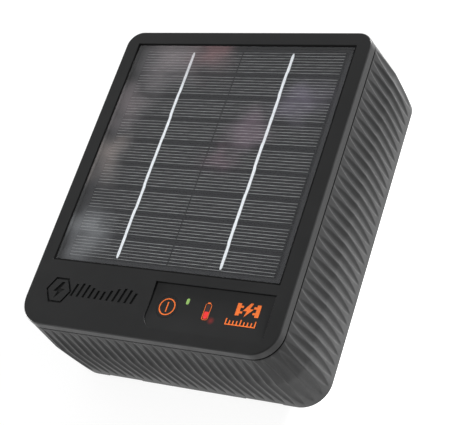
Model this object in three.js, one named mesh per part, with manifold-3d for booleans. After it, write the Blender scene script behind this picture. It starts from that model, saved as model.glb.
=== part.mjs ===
// Solar fence energizer, lying on its back: a tub with bulged sides, a bezel cover with a solar laminate
// and a control ramp, pulse electronics inside, two lead terminals in bays on the back and a hanger plate.
// Millimetres. +X right, +Y towards the far end, +Z up out of the solar face. The base lies at Z = 0.
import * as THREE from 'three';
import { mergeVertices } from 'three/addons/utils/BufferGeometryUtils.js';
import Module from 'manifold-3d';

const wasm = await Module();
wasm.setup();

// Driving dimensions.
const GAP = 0.3;
const FACE_HALF_W = 76.03;
const FACE_HALF_L = 90.98;
const FAR_RADIUS = 8.6;
const NEAR_RADIUS = 14;
const FACE_Z = 64.6;
const PART_Z = FACE_Z - 5.5;
const CREST_Z = FACE_Z - 31.2;
const PART_OFFSET = 0.59;
const CREST_OFFSET = 2.81;
const BASE_OFFSET = 0.45;
const WALL = 2.6;
const FLOOR = 3;
const CORNER_STEPS = 6;

// Solar window and its laminate.
const WINDOW_Y = 14.5;
const GLASS_HALF_W = 68;
const GLASS_HALF_L = 68.7;
const GLASS_TOP = FACE_Z - 0.6;
const GLASS_THICKNESS = 2.7;
const RIBBON_TOP = GLASS_TOP - GLASS_THICKNESS - 0.15;
const RIBBON_THICKNESS = 0.2;
const RIBBON_WIDTH = 2;
const RIBBON_X = 31.2;
const CELL_TOP = RIBBON_TOP - RIBBON_THICKNESS - 0.15;
const CELL_THICKNESS = 0.3;
const CELL_COUNT = 9;
const CELL_PITCH = 14.6;
const CELL_LENGTH = 14.1;
const CELL_HALF_W = 62.5;
const CELL_SPREAD_Y = WINDOW_Y + 1.4;
const SHEET_TOP = CELL_TOP - CELL_THICKNESS - 0.15;
const SHEET_THICKNESS = 0.8;
const GASKET_TOP = SHEET_TOP - SHEET_THICKNESS - GAP;
const GASKET_THICKNESS = 0.7;
const LEDGE_TOP = GASKET_TOP - GASKET_THICKNESS - GAP;
const LEDGE_THICKNESS = 2;
const LEDGE_WIDTH = 5;
const TRAY_WALL = 2;

// Control ramp, button and lights.
const RAMP_LEFT = -0.4;
const RAMP_RIGHT = 68.2;
const RAMP_FAR_Y = -59.8;
const RAMP_NEAR_Y = -85.5;
const RAMP_DEPTH = 0.8;
const RAMP_CORNER = 8;
const BUTTON = { x: 10.5, y: -72.5, radius: 6 };
const BUTTON_TRAVEL = 0.5;
const POWER_LIGHT = { x: 21.1, y: -68.3, width: 1.75, length: 3.3 };
const BATTERY_LIGHT = { x: 33.4, y: -72.4, width: 2.6, length: 7.8 };
const PLATE_UNDERSIDE = FACE_Z - 2.9;

// Board under the controls.
const BOARD_Z = 46;
const BOARD_THICKNESS = 1.6;
const BOARD_TOP = BOARD_Z + BOARD_THICKNESS;
const BOARD_SCREWS = [[-54, -80], [54, -80], [0, -53.4]];

// Case screws, driven from the back.
const SCREW_X = 65.6;
const SCREW_ROWS = [-51.5, 14.5, 80.5];
const SCREW_HEAD_Z = 32.3;
const POST_TOP = 43.7;

// Terminals and their bays.
const TERMINAL_X = 43.2;
const TERMINAL_Y = -71.5;
const BAY_HALF_W = 15.5;
const BAY_NEAR_Y = -89.2;
const BAY_FAR_Y = -56;
const BAY_ROOF = 24.5;
const BAY_WALL = 2.2;
const STUD_RADIUS = 3.9;
const STUD_HOLE = 4.3;
const KNOB_RADIUS = 10;
const KNOB_BOTTOM = 8;
const KNOB_TOP = 20.4;
const NOTCH_HALF_W = 11.2;
const NOTCH_HEIGHT = 2.2;

// Hanger plate on the back.
const HANGER = { halfWidth: 24, near: -34, far: 74, bottom: 0.8, thickness: 2 };
const HANGER_POCKET = 6.4;
const HANGER_SCREWS = [-27, 30];
const KEYHOLE_Y = 56;

const SOFT = 12;
const ROUND = 24;

function boxGeometry(x0, x1, y0, y1, z0, z1) {
  const geometry = new THREE.BoxGeometry(x1 - x0, y1 - y0, z1 - z0);
  geometry.translate((x0 + x1) / 2, (y0 + y1) / 2, (z0 + z1) / 2);
  return geometry;
}

function rodGeometry(radius, x, y, z0, z1, sides = ROUND) {
  const geometry = new THREE.CylinderGeometry(radius, radius, z1 - z0, sides);
  geometry.rotateX(Math.PI / 2);
  geometry.translate(x, y, (z0 + z1) / 2);
  return geometry;
}

function prismGeometry(shape, z0, z1, curveSegments = 6) {
  const geometry = new THREE.ExtrudeGeometry(shape, { depth: z1 - z0, bevelEnabled: false, curveSegments });
  geometry.translate(0, 0, z0);
  return geometry;
}

function solid(geometry) {
  const bare = geometry.clone();
  bare.deleteAttribute('normal');
  bare.deleteAttribute('uv');
  const merged = mergeVertices(bare, 1e-4);
  const mesh = new wasm.Mesh({
    numProp: 3,
    vertProperties: new Float32Array(merged.attributes.position.array),
    triVerts: new Uint32Array(merged.index.array),
  });
  return new wasm.Manifold(mesh);
}

function geometryOf(body) {
  const mesh = body.getMesh();
  const geometry = new THREE.BufferGeometry();
  geometry.setAttribute('position', new THREE.BufferAttribute(new Float32Array(mesh.vertProperties), 3));
  geometry.setIndex(new THREE.BufferAttribute(new Uint32Array(mesh.triVerts), 1));
  geometry.computeVertexNormals();
  return geometry;
}

const box = (...sides) => solid(boxGeometry(...sides));
const rod = (...sizes) => solid(rodGeometry(...sizes));

function joined(first, ...others) {
  return others.reduce((body, other) => body.add(other), first);
}

function cut(body, ...tools) {
  return tools.reduce((rest, tool) => rest.subtract(tool), body);
}

// A loop round the case, offset outwards from the outline of the face.
function caseLoop(offset, z) {
  const halfW = FACE_HALF_W + offset;
  const halfL = FACE_HALF_L + offset;
  const far = Math.max(FAR_RADIUS + offset, 1);
  const near = Math.max(NEAR_RADIUS + offset, 1);
  const corners = [
    [halfW - far, halfL - far, far, 0],
    [far - halfW, halfL - far, far, 1],
    [near - halfW, near - halfL, near, 2],
    [halfW - near, near - halfL, near, 3],
  ];
  const loop = [];
  for (const [x, y, radius, quarter] of corners) {
    for (let step = 0; step <= CORNER_STEPS; step += 1) {
      const angle = ((quarter + step / CORNER_STEPS) * Math.PI) / 2;
      loop.push([x + radius * Math.cos(angle), y + radius * Math.sin(angle), z]);
    }
  }
  return loop;
}

// A closed solid through loops given as [offset, z] from the bottom up.
function caseSolid(levels) {
  const loops = levels.map(([offset, z]) => caseLoop(offset, z));
  const count = loops[0].length;
  const index = [];
  for (let level = 0; level + 1 < loops.length; level += 1) {
    for (let i = 0; i < count; i += 1) {
      const a = level * count + i;
      const b = level * count + ((i + 1) % count);
      index.push(a, b, b + count, a, b + count, a + count);
    }
  }
  const top = (loops.length - 1) * count;
  for (let i = 1; i + 1 < count; i += 1) {
    index.push(0, i + 1, i);
    index.push(top, top + i, top + i + 1);
  }
  const geometry = new THREE.BufferGeometry();
  geometry.setAttribute('position', new THREE.Float32BufferAttribute(loops.flat(2), 3));
  geometry.setIndex(index);
  return solid(geometry);
}

function windowBlock(margin, z0, z1) {
  const halfW = GLASS_HALF_W + margin;
  const halfL = GLASS_HALF_L + margin;
  return box(-halfW, halfW, WINDOW_Y - halfL, WINDOW_Y + halfL, z0, z1);
}

function windowRing(outer, inner, z0, z1) {
  return windowBlock(outer, z0, z1).subtract(windowBlock(inner, z0 - 1, z1 + 1));
}

// Everything above the sloping floor of the control ramp, with its near left corner swept round.
function rampCutter() {
  const side = new THREE.Shape();
  side.moveTo(RAMP_NEAR_Y, FACE_Z);
  side.lineTo(RAMP_FAR_Y, FACE_Z - RAMP_DEPTH);
  side.lineTo(RAMP_FAR_Y, FACE_Z + 2);
  side.lineTo(RAMP_NEAR_Y, FACE_Z + 2);
  const wedge = new THREE.ExtrudeGeometry(side, { depth: RAMP_RIGHT - RAMP_LEFT, bevelEnabled: false });
  wedge.rotateX(Math.PI / 2);
  wedge.rotateZ(Math.PI / 2);
  wedge.translate(RAMP_LEFT, 0, 0);
  const plan = new THREE.Shape();
  plan.moveTo(RAMP_RIGHT, RAMP_NEAR_Y - 1);
  plan.lineTo(RAMP_RIGHT, RAMP_FAR_Y);
  plan.lineTo(RAMP_LEFT, RAMP_FAR_Y);
  plan.lineTo(RAMP_LEFT, RAMP_NEAR_Y - 1 + RAMP_CORNER);
  plan.quadraticCurveTo(RAMP_LEFT, RAMP_NEAR_Y - 1, RAMP_LEFT + RAMP_CORNER, RAMP_NEAR_Y - 1);
  return solid(wedge).intersect(solid(prismGeometry(plan, FACE_Z - 3, FACE_Z + 3)));
}

function pill(light, margin, z0, z1) {
  const radius = light.width / 2 + margin;
  const reach = (light.length - light.width) / 2;
  const shape = new THREE.Shape();
  shape.absarc(light.x, light.y + reach, radius, 0, Math.PI);
  shape.absarc(light.x, light.y - reach, radius, Math.PI, 2 * Math.PI);
  return solid(prismGeometry(shape, z0, z1));
}

const screwPlaces = SCREW_ROWS.flatMap((y) => [[-SCREW_X, y], [SCREW_X, y]]);

const part = new THREE.Group();
part.name = 'fence_energizer';

const finishes = {
  charcoal: { color: 0x343536, roughness: 0.55, metalness: 0 },
  body_grey: { color: 0x5a5b5c, roughness: 0.6, metalness: 0 },
  glass: { color: 0x9aa3ab, roughness: 0.08, metalness: 0, transparent: true, opacity: 0.35 },
  silicon: { color: 0x3b3d4a, roughness: 0.35, metalness: 0.2 },
  tinned: { color: 0xe4e6e8, roughness: 0.35, metalness: 0.6 },
  backing: { color: 0x4e4e58, roughness: 0.6, metalness: 0 },
  rubber: { color: 0x1b1b1b, roughness: 0.85, metalness: 0 },
  zinc: { color: 0xb9bcc0, roughness: 0.35, metalness: 0.9 },
  brass: { color: 0xc2a04e, roughness: 0.35, metalness: 0.9 },
  board: { color: 0x1e5a34, roughness: 0.5, metalness: 0 },
  black_plastic: { color: 0x1d1d1f, roughness: 0.5, metalness: 0 },
  green_lens: { color: 0x8fe04a, roughness: 0.3, metalness: 0 },
  red_lens: { color: 0xd8302a, roughness: 0.3, metalness: 0 },
  red_plastic: { color: 0xb5231f, roughness: 0.45, metalness: 0 },
  green_plastic: { color: 0x1f7a3c, roughness: 0.45, metalness: 0 },
  ferrite: { color: 0x3a3a3c, roughness: 0.7, metalness: 0.1 },
  copper: { color: 0xb06a3a, roughness: 0.4, metalness: 0.8 },
  bobbin: { color: 0xd9d2bd, roughness: 0.6, metalness: 0 },
  capacitor: { color: 0x2b4f8c, roughness: 0.45, metalness: 0 },
  cell_wrap: { color: 0x2a7a8c, roughness: 0.4, metalness: 0 },
};

function place(name, body, finish) {
  const geometry = body instanceof THREE.BufferGeometry ? body : geometryOf(body);
  const mesh = new THREE.Mesh(geometry, new THREE.MeshStandardMaterial(finishes[finish]));
  mesh.name = name;
  part.add(mesh);
}

function frontCover() {
  const skin = caseSolid([
    [PART_OFFSET, PART_Z + GAP / 2],
    [PART_OFFSET - 0.1, FACE_Z - 1],
    [0.1, FACE_Z - 0.25],
    [-0.25, FACE_Z],
  ]);
  const hollow = caseSolid([[PART_OFFSET - 2.5, PART_Z - 1], [PART_OFFSET - 2.6, PLATE_UNDERSIDE]]);
  const tray = windowRing(GAP + TRAY_WALL, GAP, LEDGE_TOP - LEDGE_THICKNESS, FACE_Z - 1);
  const ledge = windowRing(GAP + 1, -LEDGE_WIDTH, LEDGE_TOP - LEDGE_THICKNESS, LEDGE_TOP);
  const bosses = screwPlaces.map(([x, y]) => rod(3.8, x, y, POST_TOP + GAP, LEDGE_TOP - 1, SOFT));
  const pilots = screwPlaces.map(([x, y]) => rod(2.1, x, y, POST_TOP, LEDGE_TOP - LEDGE_THICKNESS, SOFT));
  const hangers = BOARD_SCREWS.map(([x, y]) => rod(3.2, x, y, BOARD_TOP + GAP, PLATE_UNDERSIDE + 0.5, SOFT));
  const threads = BOARD_SCREWS.map(([x, y]) => rod(1.8, x, y, BOARD_TOP, BOARD_TOP + 8, SOFT));
  return cut(
    joined(skin.subtract(hollow), tray, ledge, ...bosses, ...hangers),
    windowBlock(GAP, LEDGE_TOP, FACE_Z + 1),
    rampCutter(),
    rod(BUTTON.radius + GAP, BUTTON.x, BUTTON.y, PLATE_UNDERSIDE - 1, FACE_Z + 1, 32),
    pill(POWER_LIGHT, 0.2, PLATE_UNDERSIDE - 1, FACE_Z + 1),
    pill(BATTERY_LIGHT, 0.2, PLATE_UNDERSIDE - 1, FACE_Z + 1),
    ...pilots,
    ...threads,
  );
}

// Solid blocks of the two terminal bays, and what is cut out of them.
function bayShells() {
  return [-TERMINAL_X, TERMINAL_X].map((x) => box(
    x - BAY_HALF_W - BAY_WALL, x + BAY_HALF_W + BAY_WALL,
    -FACE_HALF_L - 2, BAY_FAR_Y + BAY_WALL, 0, BAY_ROOF + BAY_WALL,
  ));
}

function bayCuts() {
  return [-TERMINAL_X, TERMINAL_X].flatMap((x) => [
    box(x - BAY_HALF_W, x + BAY_HALF_W, BAY_NEAR_Y, BAY_FAR_Y, -1, BAY_ROOF),
    box(x - NOTCH_HALF_W, x + NOTCH_HALF_W, -FACE_HALF_L - 6, BAY_NEAR_Y + 1, -1, NOTCH_HEIGHT),
    rod(STUD_HOLE, x, TERMINAL_Y, BAY_ROOF - 1, BAY_ROOF + BAY_WALL + 1),
  ]);
}

function caseBody() {
  const outside = [
    [BASE_OFFSET - 1, 0], [BASE_OFFSET, 1], [1.45, 7], [2.2, 15], [2.66, 25], [CREST_OFFSET, CREST_Z],
    [2.1, 42], [1.4, 50], [PART_OFFSET, PART_Z - GAP / 2],
  ];
  const rebate = PART_Z - 1.4;
  const inside = [
    [BASE_OFFSET - WALL, FLOOR], [1.45 - WALL, 7], [2.66 - WALL, 25], [CREST_OFFSET - WALL, CREST_Z],
    [1.4 - WALL, 50], [PART_OFFSET - WALL, rebate - 1], [PART_OFFSET - WALL, PART_Z + 1],
  ];
  const posts = screwPlaces.map(([x, y]) => rod(5.4, x, y, 0.5, POST_TOP, 16));
  const counterbores = screwPlaces.map(([x, y]) => rod(3.8, x, y, -1, 36, 16));
  const clearances = screwPlaces.map(([x, y]) => rod(2.2, x, y, 35, POST_TOP + 1, SOFT));
  const width = HANGER.halfWidth + GAP;
  const pocketShell = box(-width - 2, width + 2, HANGER.near - 2.3, HANGER.far + 2.3, 0.5, HANGER_POCKET + 2.4);
  const pads = HANGER_SCREWS.map((y) => rod(6, 0, y, HANGER.bottom + HANGER.thickness + GAP, HANGER_POCKET + 1));
  const pocket = box(-width, width, HANGER.near - GAP, HANGER.far + GAP, -1, HANGER_POCKET);
  const pilots = HANGER_SCREWS.map((y) => rod(1.9, 0, y, 2, HANGER_POCKET + 1.2, SOFT));
  const shell = caseSolid(outside).subtract(caseSolid(inside));
  const walls = joined(shell, pocketShell, ...posts, ...bayShells());
  return cut(
    joined(cut(walls, pocket), ...pads),
    caseSolid([[PART_OFFSET - 0.7, rebate], [PART_OFFSET - 0.7, PART_Z + 1]])
      .subtract(caseSolid([[PART_OFFSET - WALL - 1, rebate - 1], [PART_OFFSET - WALL - 1, PART_Z + 2]])),
    ...bayCuts(),
    ...counterbores,
    ...clearances,
    ...pilots,
  ).intersect(caseSolid(outside));
}

function perimeterSeal() {
  const z0 = PART_Z - 1.4 + 0.2;
  const z1 = PART_Z - 0.1;
  const outer = PART_OFFSET - 0.95;
  const inner = PART_OFFSET - WALL + 0.1;
  return caseSolid([[outer, z0], [outer, z1]]).subtract(caseSolid([[inner, z0 - 1], [inner, z1 + 1]]));
}

function solarLaminate() {
  place('solar_glass', windowBlock(0, GLASS_TOP - GLASS_THICKNESS, GLASS_TOP), 'glass');
  for (let cell = 0; cell < CELL_COUNT; cell += 1) {
    const y = CELL_SPREAD_Y + ((CELL_COUNT - 1) / 2 - cell) * CELL_PITCH;
    const half = CELL_LENGTH / 2;
    const strip = boxGeometry(-CELL_HALF_W, CELL_HALF_W, y - half, y + half, CELL_TOP - CELL_THICKNESS, CELL_TOP);
    place(`solar_cell_${cell + 1}`, strip, 'silicon');
  }
  const reach = (CELL_COUNT * CELL_PITCH) / 2;
  for (const [name, x] of [['busbar_ribbon_left', -RIBBON_X], ['busbar_ribbon_right', RIBBON_X]]) {
    const ribbon = boxGeometry(
      x - RIBBON_WIDTH / 2, x + RIBBON_WIDTH / 2, CELL_SPREAD_Y - reach, CELL_SPREAD_Y + reach,
      RIBBON_TOP - RIBBON_THICKNESS, RIBBON_TOP,
    );
    place(name, ribbon, 'tinned');
  }
  place('solar_backsheet', windowBlock(0, SHEET_TOP - SHEET_THICKNESS, SHEET_TOP), 'backing');
  place('window_gasket', windowRing(0, -3.5, GASKET_TOP - GASKET_THICKNESS, GASKET_TOP), 'rubber');
}

function caseScrews() {
  screwPlaces.forEach(([x, y], index) => {
    const head = rod(3.4, x, y, SCREW_HEAD_Z, SCREW_HEAD_Z + 3.2, SOFT);
    const shank = rod(1.8, x, y, SCREW_HEAD_Z + 3, SCREW_HEAD_Z + 20, SOFT);
    const socket = rod(1.5, x, y, SCREW_HEAD_Z - 1, SCREW_HEAD_Z + 1.8, 6);
    place(`case_screw_${index + 1}`, joined(head, shank).subtract(socket), 'zinc');
  });
}

function controls() {
  const { x, y, radius } = BUTTON;
  const flangeTop = PLATE_UNDERSIDE - GAP;
  const key = joined(
    rod(radius, x, y, flangeTop - 1, FACE_Z, 32),
    rod(radius + 1.4, x, y, flangeTop - 1.4, flangeTop, 32),
    rod(1.6, x, y, BOARD_TOP + 6.1, flangeTop - 1, SOFT),
  );
  place('power_button', key.subtract(rampCutter()), 'charcoal');
  const base = BOARD_TOP + GAP;
  const housing = box(x - 6, x + 6, y - 6, y + 6, base, base + 3.5);
  place('tact_switch', housing.subtract(rod(2.1, x, y, base + 1.7, base + 5)), 'black_plastic');
  place('tact_plunger', rodGeometry(1.75, x, y, base + 2.4, BOARD_TOP + 5.8), 'black_plastic');
  const lights = [
    ['power', POWER_LIGHT, 'green_lens'],
    ['battery', BATTERY_LIGHT, 'red_lens'],
  ];
  for (const [name, light, finish] of lights) {
    const pipe = pill(light, 0, base + 2, FACE_Z).subtract(rampCutter());
    place(`${name}_light_pipe`, pipe, finish);
    const lamp = boxGeometry(light.x - 0.8, light.x + 0.8, light.y - 1.6, light.y + 1.6, base, base + 1.7);
    place(`${name}_led`, lamp, finish);
  }
}

function board() {
  const plate = box(-60, 60, -86, -47.5, BOARD_Z, BOARD_TOP);
  const holes = BOARD_SCREWS.map(([x, y]) => rod(2.1, x, y, BOARD_Z - 1, BOARD_TOP + 1, SOFT));
  place('main_board', cut(plate, ...holes), 'board');
  BOARD_SCREWS.forEach(([x, y], index) => {
    const head = rod(3, x, y, BOARD_Z - GAP - 2, BOARD_Z - GAP, SOFT);
    const shank = rod(1.5, x, y, BOARD_Z - GAP - 0.2, BOARD_TOP + 7, SOFT);
    place(`board_screw_${index + 1}`, joined(head, shank), 'zinc');
  });
  const top = BOARD_TOP + GAP;
  place('controller_chip', boxGeometry(-30, -18, -72, -60, top, top + 1.4), 'black_plastic');
  place('thyristor', boxGeometry(-6, 4, -82, -66, BOARD_Z - GAP - 4.4, BOARD_Z - GAP), 'black_plastic');
}

function powerParts() {
  place('storage_capacitor', boxGeometry(29, 57, -44, 6, FLOOR + GAP, 33), 'capacitor');
  const base = FLOOR + GAP;
  const [x0, x1, y0, y1] = [28, 58, 20, 64];
  const windows = (z0, z1) => [
    box(x0 - 1, x1 + 1, y0 + 8, y0 + 16, z0, z1),
    box(x0 - 1, x1 + 1, y1 - 16, y1 - 8, z0, z1),
  ];
  const middle = base + 17;
  place('transformer_core_lower', cut(box(x0, x1, y0, y1, base, middle), ...windows(base + 8, middle + 1)), 'ferrite');
  const top = base + 34;
  const upper = box(x0, x1, y0, y1, middle + GAP, top);
  place('transformer_core_upper', cut(upper, ...windows(middle - 1, top - 8)), 'ferrite');
  const yMid = (y0 + y1) / 2;
  const limb = box(x0 - 0.3, x1 + 0.3, yMid - 6.3, yMid + 6.3, 0, 60);
  const tube = box(x0 - 1.5, x1 + 1.5, yMid - 7.5, yMid + 7.5, base + 8.4, top - 8.4);
  const lower = box(x0 - 9, x1 + 9, yMid - 13.6, yMid + 13.6, base + 8.4, base + 9.9);
  const raised = box(x0 - 9, x1 + 9, yMid - 13.6, yMid + 13.6, top - 9.9, top - 8.4);
  place('transformer_bobbin', cut(joined(tube, lower, raised), limb), 'bobbin');
  const coil = box(x0 - 8, x1 + 8, yMid - 12.8, yMid + 12.8, base + 10.2, top - 10.2);
  const inner = box(x0 - 1.8, x1 + 1.8, yMid - 7.8, yMid + 7.8, 0, 60);
  place('transformer_winding', cut(coil, inner), 'copper');
}

function cells() {
  const x = -44.6;
  const z = FLOOR + 15.4;
  const spans = [[-49, 16.5], [18.3, 83.8]];
  const block = box(x - 14.6, x + 14.6, -50.8, 85, FLOOR + GAP, z - 3);
  const bays = spans.map(([y0, y1]) => {
    const bay = new THREE.CylinderGeometry(13.6, 13.6, y1 - y0 + 0.8, ROUND);
    bay.translate(x, (y0 + y1) / 2, z);
    return solid(bay);
  });
  place('battery_holder', cut(block, ...bays), 'black_plastic');
  spans.forEach(([y0, y1], index) => {
    const cell = new THREE.CylinderGeometry(13.1, 13.1, y1 - y0, ROUND);
    cell.translate(x, (y0 + y1) / 2, z);
    place(`battery_cell_${index + 1}`, cell, 'cell_wrap');
  });
}

// A fluted grip round a through hole.
function knob(x) {
  const outline = new THREE.Shape();
  const points = 48;
  for (let i = 0; i < points; i += 1) {
    const angle = (i / points) * 2 * Math.PI;
    const radius = KNOB_RADIUS - 0.7 + 0.7 * Math.cos(8 * angle);
    const [px, py] = [x + radius * Math.cos(angle), TERMINAL_Y + radius * Math.sin(angle)];
    if (i === 0) outline.moveTo(px, py);
    else outline.lineTo(px, py);
  }
  const grip = solid(prismGeometry(outline, KNOB_BOTTOM, KNOB_TOP - 2));
  const collar = rod(7.5, x, TERMINAL_Y, KNOB_TOP - 2.2, KNOB_TOP);
  return joined(grip, collar).subtract(rod(STUD_HOLE, x, TERMINAL_Y, 0, 30));
}

function washer(x, z0, z1, radius, sides = ROUND) {
  return rod(radius, x, TERMINAL_Y, z0, z1, sides).subtract(rod(STUD_HOLE, x, TERMINAL_Y, z0 - 1, z1 + 1));
}

function terminal(name, x, finish) {
  place(`${name}_stud`, rodGeometry(STUD_RADIUS, x, TERMINAL_Y, 4.6, 34), 'brass');
  place(`${name}_nut`, washer(x, BAY_ROOF + BAY_WALL + GAP, 32, 7.4, 6), 'zinc');
  place(`${name}_contact_washer`, washer(x, BAY_ROOF - GAP - 1.6, BAY_ROOF - GAP, 8), 'zinc');
  place(`${name}_clamp_washer`, washer(x, KNOB_TOP + 0.2, BAY_ROOF - GAP - 1.6 - 0.2, 8), 'zinc');
  place(`${name}_knob`, knob(x), finish);
}

function lead(points, radius) {
  const path = new THREE.CatmullRomCurve3(points.map((point) => new THREE.Vector3(...point)));
  const shape = new THREE.Shape();
  shape.absarc(0, 0, radius, 0, 2 * Math.PI);
  return new THREE.ExtrudeGeometry(shape, { steps: 14, curveSegments: 4, extrudePath: path });
}

function leads() {
  const fence = [[TERMINAL_X, TERMINAL_Y, 35.8], [43, -50, 39], [40, -12, 38], [27, 10, 37], [23.5, 34, 31.5]];
  place('fence_lead', lead(fence, 1.5), 'red_plastic');
  const earth = [[-TERMINAL_X, TERMINAL_Y, 35.8], [-38, -52, 39], [-15, -20, 38], [5, 20, 37], [22, 48, 31.5]];
  place('earth_lead', lead(earth, 1.5), 'green_plastic');
  const panel = [[-20, -38, LEDGE_TOP - 2.4], [-20, -41, 53], [-21, -48, 51], [-22, -53, BOARD_TOP + 1.6]];
  place('panel_lead', lead(panel, 1.2), 'black_plastic');
}

function keyhole() {
  const shape = new THREE.Shape();
  shape.moveTo(-2.9, KEYHOLE_Y);
  shape.lineTo(2.9, KEYHOLE_Y);
  shape.lineTo(2.9, KEYHOLE_Y + 12);
  shape.absarc(0, KEYHOLE_Y + 12, 2.9, 0, Math.PI);
  return joined(solid(prismGeometry(shape, -1, 6)), rod(5.6, 0, KEYHOLE_Y, -1, 6));
}

function hangerPlate() {
  const { halfWidth, near, far, bottom, thickness } = HANGER;
  const plate = box(-halfWidth, halfWidth, near, far, bottom, bottom + thickness);
  const holes = HANGER_SCREWS.map((y) => rod(2.2, 0, y, -1, 6, SOFT));
  place('hanger_plate', cut(plate, keyhole(), ...holes), 'zinc');
  HANGER_SCREWS.forEach((y, index) => {
    const head = rod(3.4, 0, y, 0.05, bottom - 0.1, SOFT);
    const shank = rod(1.6, 0, y, 0.3, HANGER_POCKET + 1, SOFT);
    place(`hanger_screw_${index + 1}`, joined(head, shank), 'zinc');
  });
}

place('front_cover', frontCover(), 'charcoal');
place('case_body', caseBody(), 'body_grey');
place('perimeter_seal', perimeterSeal(), 'rubber');
solarLaminate();
caseScrews();
controls();
board();
powerParts();
cells();
terminal('fence', TERMINAL_X, 'red_plastic');
terminal('earth', -TERMINAL_X, 'green_plastic');
leads();
hangerPlate();

export default part;
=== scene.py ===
"""Looks of a solar fence energizer that lies on its back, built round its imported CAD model.

Lengths are millimetres here and metres in Blender, in the CAD model's frame: +X is right, +Y is the
far end and +Z points out of the solar face. A loop is a list of points round a piece, and most pieces
are lofted through loops and then cut or joined with each other.
"""

import math

import bmesh
import bpy
from mathutils import Matrix, Vector


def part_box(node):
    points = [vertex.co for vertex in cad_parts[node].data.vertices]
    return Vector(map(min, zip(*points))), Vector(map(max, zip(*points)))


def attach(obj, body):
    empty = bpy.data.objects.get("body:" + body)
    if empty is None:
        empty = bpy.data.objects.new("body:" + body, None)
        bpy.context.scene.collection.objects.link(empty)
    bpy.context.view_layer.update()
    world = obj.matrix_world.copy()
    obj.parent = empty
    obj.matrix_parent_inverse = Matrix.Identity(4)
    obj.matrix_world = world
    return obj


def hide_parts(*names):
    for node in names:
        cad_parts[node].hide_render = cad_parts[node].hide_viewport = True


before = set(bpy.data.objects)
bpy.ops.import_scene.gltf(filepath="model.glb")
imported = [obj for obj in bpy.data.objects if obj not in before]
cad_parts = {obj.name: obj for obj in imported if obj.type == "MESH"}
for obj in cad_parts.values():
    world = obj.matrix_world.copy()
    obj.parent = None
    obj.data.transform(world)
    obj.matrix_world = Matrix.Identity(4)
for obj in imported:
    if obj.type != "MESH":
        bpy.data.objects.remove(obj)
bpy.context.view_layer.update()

MM = 0.001


def span(node):
    """Lowest and highest corner of a CAD node, in millimetres."""
    low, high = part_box(node)
    return low / MM, high / MM


# ---------------------------------------------------------------- sizes, from the frame where it has them

BODY_HI = span("case_body")[1]
COVER_LO, COVER_HI = span("front_cover")
GLASS_LO, GLASS_HI = span("solar_glass")
FACE_Z = COVER_HI.z
PART_OFFSET = 0.59
FACE_HALF_W = COVER_HI.x - PART_OFFSET
FACE_HALF_L = COVER_HI.y - PART_OFFSET
CREST_OFFSET = BODY_HI.x - FACE_HALF_W
CREST_Z = FACE_Z - 31.2
BASE_OFFSET = 1.5
RIM_Z = BODY_HI.z
NEAR_RADIUS = 14
FAR_RADIUS = 8.6
WALL = 2.6
FLOOR = 3.0
PLATE_UNDERSIDE = FACE_Z - 2.9
WINDOW_GAP = 0.3
LEDGE_TOP = span("window_gasket")[0].z - 0.3

# Ribs on the case wall, counted from the middle of the near end to the middle of the far end.
NEAR_HALF_RIBS = 10.90
NEAR_CORNER_RIBS = 4.79
SIDE_RIBS = 28.10
FAR_CORNER_RIBS = 2.53
FAR_HALF_RIBS = 11.68
HALF_RIBS = NEAR_HALF_RIBS + NEAR_CORNER_RIBS + SIDE_RIBS + FAR_CORNER_RIBS + FAR_HALF_RIBS
RIB_COUNT = round(2 * HALF_RIBS)
RIB_STEPS = 14
RIB_MIDDLE_Z = 31.85
RIB_HALF_HEIGHT = 26.3
GROOVE_DEPTH = 0.95
GROOVE_HALF_WIDTH = 0.45
GROOVE_BLEND = 0.03
GROOVE_SHIFT = 0.05
BULGE_POWER = 1.8
CORNER_STEPS = 10

# Control ramp.
RAMP_LEFT = -0.4
RAMP_RIGHT = 68.2
RAMP_FAR_Y = -59.8
RAMP_NEAR_Y = -85.5
RAMP_DEPTH = 0.8
RAMP_SWEEP_Y = -77.5
RAMP_SWEEP = 9.0
RAMP_TRENCH_END_Y = -83.4
TRENCH_WIDTH = 0.75
TRENCH_DEPTH = 0.9
FAR_TRENCH_WIDTH = 0.4

# Terminal bays, counterbores and the hanger pocket on the back.
STUD_LO, STUD_HI = span("fence_stud")
TERMINAL_X = (STUD_LO.x + STUD_HI.x) / 2
TERMINAL_Y = (STUD_LO.y + STUD_HI.y) / 2
STUD_RADIUS = (STUD_HI.x - STUD_LO.x) / 2
STUD_HOLE = STUD_RADIUS + 0.4
BAY_HALF_W = 15.5
BAY_NEAR_Y = -89.2
BAY_FAR_Y = -56
BAY_ROOF = 24.5
BAY_WALL = 2.2
NOTCH_HALF_W = 11.2
NOTCH_HEIGHT = 2.2
HANGER_LO, HANGER_HI = span("hanger_plate")
HANGER_POCKET = 6.4
KEYHOLE_Y = 56
KEYHOLE_RADIUS = 5.6
KEYHOLE_SLOT = 2.9
KEYHOLE_RUN = 12

CASE_SCREWS = [f"case_screw_{n}" for n in range(1, 7)]
BOARD_SCREWS = [f"board_screw_{n}" for n in range(1, 4)]
HANGER_SCREWS = [f"hanger_screw_{n}" for n in range(1, 3)]


def middle(node):
    low, high = span(node)
    return (low + high) / 2


# ---------------------------------------------------------------- mesh helpers

def add_object(name, mesh):
    piece = bpy.data.objects.new(name, mesh)
    bpy.context.scene.collection.objects.link(piece)
    return piece


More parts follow.
